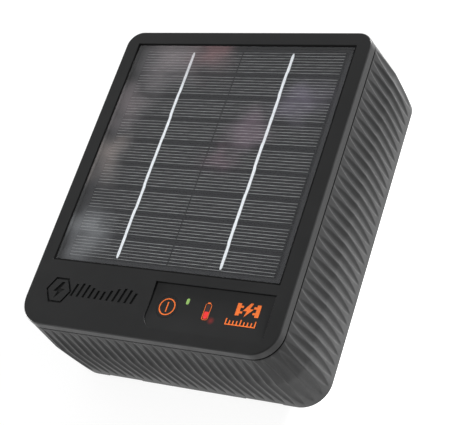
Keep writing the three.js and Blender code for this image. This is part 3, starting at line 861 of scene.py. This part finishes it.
def lens(name, lamp, node, material, slot):
    """A light pipe with a softly rounded head, level with the ramp."""
    low, high = lamp
    base = low.z

    def head(margin, lift):
        return [(x, y, ramp_floor(y) + lift) for x, y, _ in lamp_loop(lamp, margin, 0)]

    loops = [lamp_loop(lamp, -0.15, base), lamp_loop(lamp, 0, base + 0.3), head(0, -0.15)]
    loops += [head(-0.06, -0.04), head(-0.18, 0.0), head(-0.45, 0.04)]
    present(solid(name, [loops]), "root", slot, material, node, sharp=60)


lens("power_lens", POWER_LAMP, "power_light_pipe", green_lens, "green_lens")
lens("battery_lens", BATTERY_LAMP, "battery_light_pipe", red_lens, "red_lens")


# ---------------------------------------------------------------- solar laminate

PANEL_X = -0.35
FINGER_REACH = 61.8
FINGER_PITCH = 1.79
FINGER_WIDTH = 0.37
FINGER_MARGIN = 0.75
FINGERS = 7
BREAK_HALF = 0.4
CELLS = 9

glass_shell = solid("panel_glass", [[
    window_loop(-0.15, GLASS_LO.z), window_loop(0, GLASS_LO.z + 0.15),
    window_loop(0, GLASS_HI.z - 0.25), window_loop(-0.08, GLASS_HI.z - 0.08), window_loop(-0.25, GLASS_HI.z),
]])

# Painted reflections in the glass, soft coloured patches: x, y, radius, colour and strength.
PAINTED_REFLECTIONS = [
    (-44, 78, 36, (0.52, 0.46, 0.48), 0.19),
    (-16, 78, 24, (0.60, 0.34, 0.36), 0.14),
    (-62, 44, 26, (0.53, 0.46, 0.48), 0.12),
    (-62, 10, 24, (0.57, 0.49, 0.46), 0.16),
    (-54, -36, 26, (0.51, 0.53, 0.55), 0.16),
    (10, 14, 17, (0.57, 0.36, 0.46), 0.06),
    (22, 31, 20, (0.57, 0.42, 0.52), 0.09),
    (46, 51, 24, (0.52, 0.46, 0.61), 0.09),
]


def glass_material():
    """Clear glass over a faint grey cloudiness, with painted reflections: soft coloured patches mixed into
    it, under a real gloss.
    """
    finish = Finish("panel_glass")
    colour = (0.30, 0.31, 0.33, 1)
    amount = 0.02
    wander = finish.add("VectorMath", {0: finish.add("TexNoise", {
        "Vector": finish.place, "Scale": 60.0, "Detail": 2.0}).outputs["Color"], 1: (0.5, 0.5, 0.5)},
        operation="SUBTRACT").outputs["Vector"]
    bent = finish.add("VectorMath", {0: wander, 1: (0.03, 0.03, 0.0)}, operation="MULTIPLY").outputs["Vector"]
    place = finish.add("VectorMath", {0: finish.place, 1: bent}, operation="ADD").outputs["Vector"]
    # Each patch is a painted reflection that tints and thickens the cloudy layer round its centre.
    for x, y, radius, tone, strength in PAINTED_REFLECTIONS:
        centre = (x * MM, y * MM, GLASS_HI.z * MM)
        away = finish.add("VectorMath", {0: place, 1: centre}, operation="DISTANCE").outputs["Value"]
        share = finish.span(away, 1.0, 0.0, 0.0, radius * MM, smooth=True)
        mix = finish.add("MixRGB", {"Fac": share, "Color1": colour, "Color2": (*tone, 1)})
        colour = mix.outputs["Color"]
        amount = finish.math("MAXIMUM", amount, finish.math("MULTIPLY", share, strength))
    flecks = finish.span(finish.noise(1.2, 2), 0.92, 1.08, 0.3, 0.7)
    haze_with_painted_reflections = finish.add("BsdfDiffuse", {"Color": colour})
    clear = finish.add("BsdfTransparent", {"Color": (0.93, 0.94, 0.95, 1)})
    body = finish.add("MixShader", {0: finish.math("MULTIPLY", amount, flecks),
                                    1: clear.outputs[0], 2: haze_with_painted_reflections.outputs[0]})
    gloss = finish.add("BsdfGlossy", {"Color": (1, 1, 1, 1), "Roughness": 0.12})
    outer = finish.math("SUBTRACT", 1.0, finish.add("NewGeometry").outputs["Backfacing"])
    mirror = finish.math("MULTIPLY", finish.add("Fresnel", {"IOR": 1.45}).outputs[0], outer)
    whole = finish.add("MixShader", {0: mirror, 1: body.outputs[0], 2: gloss.outputs[0]})
    output = finish.tree.nodes["Material Output"]
    finish.tree.links.new(whole.outputs[0], output.inputs["Surface"])
    return finish.material


present(glass_shell, "root", "clear_glass", glass_material(), "solar_glass")


def sealant_bead():
    """Black sealant round the glass, from the frame's wall onto the edge of the glass."""
    reach = 0.75
    profile = [(WINDOW_GAP - 0.02, GLASS_HI.z - 1.6), (WINDOW_GAP - 0.02, GLASS_HI.z + 0.28)]
    profile += [(-0.3 * reach, GLASS_HI.z + 0.2), (-0.75 * reach, GLASS_HI.z + 0.1)]
    profile.append((-reach, GLASS_HI.z + 0.02))
    profile += [(0.04, GLASS_HI.z + 0.02), (0.04, GLASS_HI.z - 1.6)]
    loops = [window_loop(margin, z) for margin, z in profile]
    return solid("window_sealant", [loops], ring=True)


present(sealant_bead(), "root", "rubber", sealant)


def silicon_material():
    """Silicon: nearly black blue-grey with faint crystal grain and cell to cell change."""
    finish = Finish("silicon")
    grain = finish.noise(2.2, 4)
    broad = finish.noise(26, 2)
    mixed = finish.math("ADD", finish.math("MULTIPLY", grain, 0.45), finish.math("MULTIPLY", broad, 0.55))
    finish.set(Base_Color=finish.ramp(mixed, (0.3, (0.008, 0.008, 0.010)), (0.7, (0.014, 0.0135, 0.0165))))
    finish.set(Roughness=finish.span(grain, 0.4, 0.55, 0.3, 0.7), Specular_IOR_Level=0.1)
    finish.bump(grain, 0.004)
    return finish.material


def finger_material():
    """Fired silver paste: pale grey, uneven along its run."""
    finish = Finish("silver_paste")
    run = finish.noise(1.1, 3, (0.25, 1, 1))
    finish.set(Base_Color=finish.ramp(run, (0.28, (0.19, 0.188, 0.18)), (0.72, (0.40, 0.395, 0.38))))
    finish.set(Roughness=0.6)
    finish.bump(run, 0.01)
    return finish.material


def backing_material():
    """The laminate's backing sheet, grey-violet with a fine weave."""
    finish = Finish("backing_sheet")
    weave = finish.add("TexWave", {"Vector": finish.place, "Scale": 900.0, "Distortion": 1.5})
    cloud = finish.noise(18, 3)
    mixed = finish.math("ADD", finish.math("MULTIPLY", weave.outputs["Fac"], 0.04),
                        finish.math("MULTIPLY", cloud, 0.96))
    finish.set(Base_Color=finish.ramp(mixed, (0.3, (0.021, 0.0205, 0.023)), (0.7, (0.033, 0.0315, 0.035))))
    finish.set(Roughness=0.6)
    finish.bump(weave.outputs["Fac"], 0.003)
    return finish.material


silicon = silicon_material()
silver = finger_material()
backing = backing_material()


def finger(y, x0, x1, skew, z0, z1):
    """One printed line, slightly wavy, from x0 to x1."""
    steps = 18
    loops = []
    for i in range(steps + 1):
        x = x0 + (x1 - x0) * i / steps
        at = y + skew * x + 0.05 * math.sin(0.35 * x + 1.7 * y)
        half = FINGER_WIDTH / 2 * (1 + 0.15 * math.sin(1.3 * x + y))
        loops.append([(x, at - half, z0), (x, at + half, z0),
                      (x, at + 0.6 * half, z1), (x, at - 0.6 * half, z1)])
    return loops


def cell_fingers(index):
    low, high = span(f"solar_cell_{index}")
    count = FINGERS + (1 if index == 1 else 0)
    skew = 0.0022 * math.sin(2.1 * index)
    shift = 0.12 * (-1) ** index
    sections = []
    for line in range(count):
        y = low.y + FINGER_MARGIN + FINGER_PITCH * line + shift
        z0 = high.z + 0.005
        z1 = high.z + 0.06
        sections.append(finger(y, PANEL_X - FINGER_REACH, PANEL_X - BREAK_HALF, skew, z0, z1))
        sections.append(finger(y, PANEL_X + BREAK_HALF, PANEL_X + FINGER_REACH, skew, z0, z1))
    present(solid(f"cell_fingers_{index}", sections), "root", "ribbon", silver)


for cell in range(1, CELLS + 1):
    cell_fingers(cell)


def ribbon(node, side):
    """A soldered ribbon that steps a little sideways at each cell and ends in rounded solder."""
    low, high = span(node)
    x = (low.x + high.x) / 2 + PANEL_X
    start = high.y - 1.6
    end = low.y + 1.4
    steps = 150
    pitch = (high.y - low.y) / CELLS
    loops = []
    for i in range(steps + 1):
        y = start + (end - start) * i / steps
        cell_run = (high.y - y) / pitch
        whole = math.floor(cell_run)
        part = cell_run - whole
        ease = min(max((part - 0.86) / 0.14, 0.0), 1.0)
        ease = ease * ease * (3 - 2 * ease)
        steps_aside = [0.17 * math.sin(2.3 * (whole + k) + side) for k in (0, 1)]
        aside = steps_aside[0] + (steps_aside[1] - steps_aside[0]) * ease
        half = 0.82 + 0.04 * math.sin(0.8 * y + side) + 0.03 * math.sin(2.6 * y)
        rim = min((i + 0.4) / 4, (steps - i + 0.4) / 4, 1.0)
        half *= math.sqrt(1 - (1 - rim) ** 2)
        at = x + aside
        loops.append([
            (at - half, y, low.z + 0.02), (at + half, y, low.z + 0.02), (at + half, y, high.z - 0.09),
            (at + 0.75 * half, y, high.z - 0.01), (at - 0.75 * half, y, high.z - 0.01),
            (at - half, y, high.z - 0.09),
        ])
    return solid(node + "_strip", [loops])


present(ribbon("busbar_ribbon_left", 0.4), "root", "ribbon", tinned, "busbar_ribbon_left", sharp=60)
present(ribbon("busbar_ribbon_right", 2.2), "root", "ribbon", tinned, "busbar_ribbon_right", sharp=60)


# ---------------------------------------------------------------- terminals and fasteners

def threaded_loops(x, y, radius, pitch, z0, z1, sides=24, rows=6):
    """Loops of a right-hand thread, with a chamfer at both ends."""
    depth = 0.54 * pitch
    count = max(2, round((z1 - z0) / pitch * rows))
    loops = []
    for i in range(count + 1):
        z = z0 + (z1 - z0) * i / count
        ends = min((z - z0) / pitch, (z1 - z) / pitch, 1.0)
        loop = []
        for s in range(sides):
            wave = (z / pitch - s / sides) % 1.0
            cut_in = depth * min(1.0, 2.4 * abs(wave - 0.5) + 0.05)
            reach = radius - max(cut_in, depth * (1 - ends))
            angle = 2 * math.pi * s / sides
            loop.append((x + reach * math.cos(angle), y + reach * math.sin(angle), z))
        loops.append(loop)
    return loops


def washer_piece(node, body):
    low, high = span(node)
    x, y = (low.x + high.x) / 2, (low.y + high.y) / 2
    outer = (high.x - low.x) / 2
    soft = 0.15
    profile = [(outer - soft, low.z), (outer, low.z + soft), (outer, high.z - soft), (outer - soft, high.z)]
    profile += [(STUD_HOLE + soft, high.z), (STUD_HOLE, high.z - soft)]
    profile += [(STUD_HOLE, low.z + soft), (STUD_HOLE + soft, low.z)]
    loops = [circle(x, y, radius, z, 48) for radius, z in profile]
    present(solid(node + "_turned", [loops], ring=True), body, "zinc_steel", zinc, node)


def nut_piece(node):
    """A hexagon nut with chamfered corners and a plain bore."""
    low, high = span(node)
    x, y = (low.x + high.x) / 2, (low.y + high.y) / 2
    across = 7.4 * math.cos(math.pi / 6)
    sides = 48

    def hexagon(limit, z):
        loop = []
        for i in range(sides):
            angle = 2 * math.pi * i / sides
            flat_reach = across / math.cos((angle + math.pi / 6) % (math.pi / 3) - math.pi / 6)
            reach = min(flat_reach, limit)
            loop.append((x + reach * math.cos(angle), y + reach * math.sin(angle), z))
        return loop

    loops = [hexagon(across, low.z), hexagon(7.4, low.z + 0.6)]
    loops += [hexagon(7.4, high.z - 0.6), hexagon(across, high.z)]
    loops += [circle(x, y, radius, z, sides) for radius, z in
              ((STUD_HOLE + 0.4, high.z), (STUD_HOLE, high.z - 0.4),
               (STUD_HOLE, low.z + 0.4), (STUD_HOLE + 0.4, low.z))]
    present(solid(node + "_hex", [loops], ring=True), "root", "zinc_steel", zinc, node)


FLUTES = 8


def knob_piece(name, x, material, slot):
    """A fluted grip with rounded edges, a round collar and a countersunk bore."""
    node = name + "_knob"
    low, high = span(node)
    grip = (high.x - low.x) / 2
    sides = 96
    collar_z = high.z - 2

    def fluted(inset, z, depth=0.9):
        loop = []
        for i in range(sides):
            angle = 2 * math.pi * i / sides
            scallop = abs(math.sin(FLUTES * angle / 2)) ** 1.6
            reach = grip - inset - depth * (1 - scallop)
            loop.append((x + reach * math.cos(angle), TERMINAL_Y + reach * math.sin(angle), z))
        return loop

    loops = [fluted(2.6, low.z, 0.1), fluted(2.2, low.z, 0.2)]
    loops += [fluted(1.2 - dx, low.z + 1.2 - dz) for dx, dz in arc(1.2, 5, 90, 0)]
    loops += [fluted(0.8 - dx, collar_z - 0.8 + dz) for dx, dz in arc(0.8, 4)]
    loops += [circle(x, TERMINAL_Y, radius, z, sides) for radius, z in
              ((7.8, collar_z), (7.4, collar_z + 0.3), (7.4, high.z - 0.3), (7.1, high.z),
               (STUD_HOLE + 0.5, high.z), (STUD_HOLE, high.z - 0.5),
               (STUD_HOLE, low.z + 0.8), (STUD_HOLE + 0.8, low.z))]
    present(solid(node + "_grip", [loops], ring=True), name + "_knob", slot, material, node, sharp=40)


def terminal(name, x, material, slot):
    low, high = span(name + "_stud")
    thread = threaded_loops(x, TERMINAL_Y, STUD_RADIUS, 1.25, low.z, high.z, 32)
    present(solid(name + "_stud_thread", [thread]), "root", "brass", brass, name + "_stud", sharp=50)
    nut_piece(name + "_nut")
    washer_piece(name + "_contact_washer", "root")
    washer_piece(name + "_clamp_washer", name + "_washer")
    knob_piece(name, x, material, slot)


terminal("fence", TERMINAL_X, red_plastic, "red_plastic")
terminal("earth", -TERMINAL_X, green_plastic, "green_plastic")


def screw_piece(node, head_height, shank_radius, pitch=1.3):
    """A pan-head screw that points up, with a cross socket in its head and a rolled thread."""
    low, high = span(node)
    x, y = (low.x + high.x) / 2, (low.y + high.y) / 2
    head_radius = (high.x - low.x) / 2
    sides = 24
    neck = low.z + head_height
    dome = min(0.45 * head_height, 0.9)
    loops = [circle(x, y, head_radius * 0.55, low.z, sides)]
    loops += [circle(x, y, head_radius - dome + dx, low.z + dome - dz, sides)
              for dx, dz in arc(dome, 4, 80, 0)]
    loops += [circle(x, y, head_radius, neck - 0.05, sides), circle(x, y, shank_radius, neck, sides)]
    loops += threaded_loops(x, y, shank_radius, pitch, neck + 0.1, high.z, sides, 5)
    screw = solid(node + "_pan", [loops])
    socket_depth = min(1.6, 0.6 * head_height)
    arm, thin = 0.62 * head_radius, 0.16 * head_radius
    tools = [block(x - a, x + a, y - b, y + b, low.z - 1, low.z + socket_depth, 0.1 * head_radius)
             for a, b in ((arm, thin), (thin, arm))]
    present(cut(screw, *tools), "root", "zinc_steel", zinc, node, sharp=45)


for node in CASE_SCREWS:
    screw_piece(node, 3.2, 1.8)
for node in BOARD_SCREWS:
    screw_piece(node, 2.0, 1.5, 1.1)
for node in HANGER_SCREWS:
    screw_piece(node, 0.65, 1.6, 1.2)


def keyhole_loop(grow, z):
    """The keyhole's outline: a round entry and a narrower slot above it."""
    slot = KEYHOLE_SLOT + grow
    entry = KEYHOLE_RADIUS + grow
    join_angle = math.asin(slot / entry)
    points = [(x, KEYHOLE_Y + KEYHOLE_RUN + y) for x, y in arc(slot, 10, 0, 180)]
    start = math.degrees(math.pi / 2 + join_angle)
    points += [(x, KEYHOLE_Y + y) for x, y in arc(entry, 28, start, 540 - start)]
    return [(x, y, z) for x, y in points]


def hanger_piece():
    low, high = HANGER_LO, HANGER_HI
    soft = 0.3

    def edge(inset, z):
        return rounded_box(low.x + inset, high.x - inset, low.y + inset, high.y - inset, 2.0 - inset, z)

    plate = solid("hanger_plate_pressed", [[
        edge(soft, low.z), edge(0.3 * soft, low.z + 0.3 * soft), edge(0, low.z + soft),
        edge(0, high.z - soft), edge(soft, high.z)]])
    key = solid("tool", [[keyhole_loop(soft, low.z - 1), keyhole_loop(soft, low.z),
                          keyhole_loop(0, low.z + soft),
                          keyhole_loop(0, high.z + 1)]])
    holes = [rod(middle(node).x, middle(node).y, 2.2, low.z - 1, high.z + 1, 24) for node in HANGER_SCREWS]
    present(cut(plate, key, *holes), "root", "zinc_steel", zinc, "hanger_plate")


hanger_piece()


# ---------------------------------------------------------------- CAD nodes that stay

def board_material():
    """Solder mask over traces, with a fine fibre weave under it."""
    finish = Finish("board_mask")
    traces = finish.add("TexBrick", {"Vector": finish.place, "Scale": 120.0,
                                     "Color1": (0.012, 0.10, 0.035, 1),
                                     "Color2": (0.016, 0.13, 0.045, 1), "Mortar": (0.03, 0.20, 0.08, 1),
                                     "Mortar Size": 0.03})
    weave = finish.noise(0.7, 2)
    finish.set(Base_Color=traces.outputs["Color"], Roughness=finish.span(weave, 0.25, 0.4, 0.3, 0.7))
    finish.bump(traces.outputs["Fac"], 0.02)
    return finish.material


def winding_material():
    """Enamelled copper laid turn beside turn."""
    finish = Finish("winding")
    turns = finish.add("TexWave", {"Vector": finish.place, "Scale": 500.0, "Distortion": 0.4},
                       bands_direction="Z")
    # Painted light: the colour is darker in the hollows between turns, painted shade, and lighter on their
    # crests, a painted highlight.
    shadow, crest = (0.1, (0.20, 0.06, 0.02)), (0.9, (0.62, 0.26, 0.10))
    finish.set(Base_Color=finish.ramp(turns.outputs["Fac"], shadow, crest))
    finish.set(Metallic=0.8, Roughness=0.35)
    finish.bump(turns.outputs["Fac"], 0.1)
    return finish.material


KEPT = {
    "perimeter_seal": rubber, "window_gasket": rubber, "solar_backsheet": backing,
    "tact_switch": black_plastic, "tact_plunger": black_plastic,
    "power_led": green_lens, "battery_led": red_lens,
    "main_board": board_material(), "controller_chip": black_plastic, "thyristor": black_plastic,
    "storage_capacitor": film_capacitor, "transformer_core_lower": ferrite, "transformer_core_upper": ferrite,
    "transformer_bobbin": bobbin_plastic, "transformer_winding": winding_material(),
    "battery_holder": black_plastic, "battery_cell_1": wrap, "battery_cell_2": wrap,
    "fence_lead": red_plastic, "earth_lead": green_plastic, "panel_lead": black_plastic,
}
KEPT.update({f"solar_cell_{cell}": silicon for cell in range(1, CELLS + 1)})
for node, material in KEPT.items():
    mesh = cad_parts[node].data
    mesh.materials.clear()
    mesh.materials.append(material)


# ---------------------------------------------------------------- floor, light and camera

# Floor glow left of, in and right of its bright strip, a painted pool of light; the runs give where the strip
# rises and falls along X, in metres.
FLOOR_GLOW = (0.80, 1.85, 1.25)
FLOOR_GLOW_RUNS = ((0.055, 0.084), (0.088, 0.102))


def floor():
    """A pale floor that glows softly and so lights the case too. Its glow is strongest in a strip along its
    right side, a painted pool of light, and is painted off under the case as painted shade.
    """
    reach = 4000
    finish = Finish("floor")
    cloud = finish.noise(400, 2)
    finish.set(Base_Color=finish.ramp(cloud, (0.3, (0.24, 0.24, 0.24)), (0.7, (0.26, 0.26, 0.26))))
    finish.set(Roughness=0.9, Emission_Color=(1, 1, 1, 1), Specular_IOR_Level=0.0)
    place = finish.add("SeparateXYZ", {"Vector": finish.place}).outputs
    left, strip, right = FLOOR_GLOW
    rise = finish.span(place["X"], left, strip, *FLOOR_GLOW_RUNS[0], smooth=True)
    fall = finish.span(place["X"], 0.0, strip - right, *FLOOR_GLOW_RUNS[1], smooth=True)
    corner = 22.0 * MM
    away = 0.0
    for axis, half in (("X", FACE_HALF_W), ("Y", FACE_HALF_L)):
        straight = (half + BASE_OFFSET - 0.4) * MM - corner
        beyond = finish.math("SUBTRACT", finish.math("ABSOLUTE", place[axis]), straight)
        beyond = finish.math("MAXIMUM", beyond, 0.0)
        away = finish.math("ADD", away, finish.math("MULTIPLY", beyond, beyond))
    # Painted shade: no glow where the case stands on the floor.
    painted_shade_under_case = finish.span(finish.math("SQRT", away, 0.0), 1.0, 0.0, corner - 0.1 * MM, corner)
    glow = finish.math("SUBTRACT", rise, fall)
    finish.set(Emission_Strength=finish.math("MULTIPLY", glow, finish.math("SUBTRACT", 1.0, painted_shade_under_case)))
    bm = bmesh.new()
    edge = reach * MM
    corners = [bm.verts.new((x * edge, y * edge, 0)) for x, y in ((-1, -1), (1, -1), (1, 1), (-1, 1))]
    bm.faces.new(corners)
    mesh = bpy.data.meshes.new("floor")
    bm.to_mesh(mesh)
    bm.free()
    mesh.materials.append(finish.material)
    add_object("floor", mesh)


ZENITH_LIGHT = 0.62
HORIZON_LIGHT = 0.95
KEY_SIDE = (0.85, 0.5, 0.0)


def sky():
    """A bright band round the horizon, stronger on the key side, that fades to a dark zenith."""
    world = bpy.data.worlds.new("studio")
    bpy.context.scene.world = world
    world.use_nodes = True
    nodes, links = world.node_tree.nodes, world.node_tree.links
    background = nodes["Background"]
    direction = nodes.new("ShaderNodeTexCoord").outputs["Generated"]
    height = nodes.new("ShaderNodeSeparateXYZ")
    links.new(direction, height.inputs["Vector"])
    fade = nodes.new("ShaderNodeMapRange")
    fade.interpolation_type = "SMOOTHSTEP"
    for key, value in (("From Min", 0.0), ("From Max", 1.0),
                       ("To Min", HORIZON_LIGHT), ("To Max", ZENITH_LIGHT)):
        fade.inputs[key].default_value = value
    links.new(height.outputs["Z"], fade.inputs["Value"])
    toward = nodes.new("ShaderNodeVectorMath")
    toward.operation = "DOT_PRODUCT"
    toward.inputs[1].default_value = KEY_SIDE
    links.new(direction, toward.inputs[0])
    side = nodes.new("ShaderNodeMapRange")
    for key, value in (("From Min", -1.0), ("From Max", 1.0), ("To Min", 0.9), ("To Max", 1.1)):
        side.inputs[key].default_value = value
    links.new(toward.outputs["Value"], side.inputs["Value"])
    strength = nodes.new("ShaderNodeMath")
    strength.operation = "MULTIPLY"
    links.new(fade.outputs["Result"], strength.inputs[0])
    links.new(side.outputs["Result"], strength.inputs[1])
    links.new(strength.outputs["Value"], background.inputs["Strength"])
    background.inputs["Color"].default_value = (1, 1, 1, 1)


# Direction that each soft side light comes from, its strength and its width in degrees.
SIDE_LIGHTS = {
    "light_far_right": ((0.40, 0.92, 0.05), 15.0, 12),
    "light_left": ((-0.96, -0.25, 0.07), 8.0, 14),
}


def side_lights():
    for name, (source, strength, width) in SIDE_LIGHTS.items():
        data = bpy.data.lights.new(name, "SUN")
        data.energy = strength
        data.angle = math.radians(width)
        lamp = add_object(name, data)
        lamp.rotation_euler = Vector(source).to_track_quat("Z", "Y").to_euler()


AIM = Vector((30.68, -18.22, FACE_Z))
AZIMUTH = 52.984
ELEVATION = 50.577
ROLL = -40.83
DISTANCE = 639.7
LENS = 98.23


def camera():
    data = bpy.data.cameras.new("camera")
    data.lens = LENS
    data.sensor_width = 36
    data.clip_start = 0.05
    data.clip_end = 20
    azimuth, elevation = math.radians(AZIMUTH), math.radians(ELEVATION)
    back = Vector((math.sin(azimuth) * math.cos(elevation), -math.cos(azimuth) * math.cos(elevation),
                   math.sin(elevation)))
    turn = (-back).to_track_quat("-Z", "Y").to_matrix().to_4x4() @ Matrix.Rotation(math.radians(ROLL), 4, "Z")
    eye = add_object("camera", data)
    eye.matrix_world = Matrix.Translation((AIM + back * DISTANCE) * MM) @ turn
    bpy.context.scene.camera = eye


floor()
sky()
side_lights()
camera()
bpy.context.scene.view_settings.view_transform = "Standard"
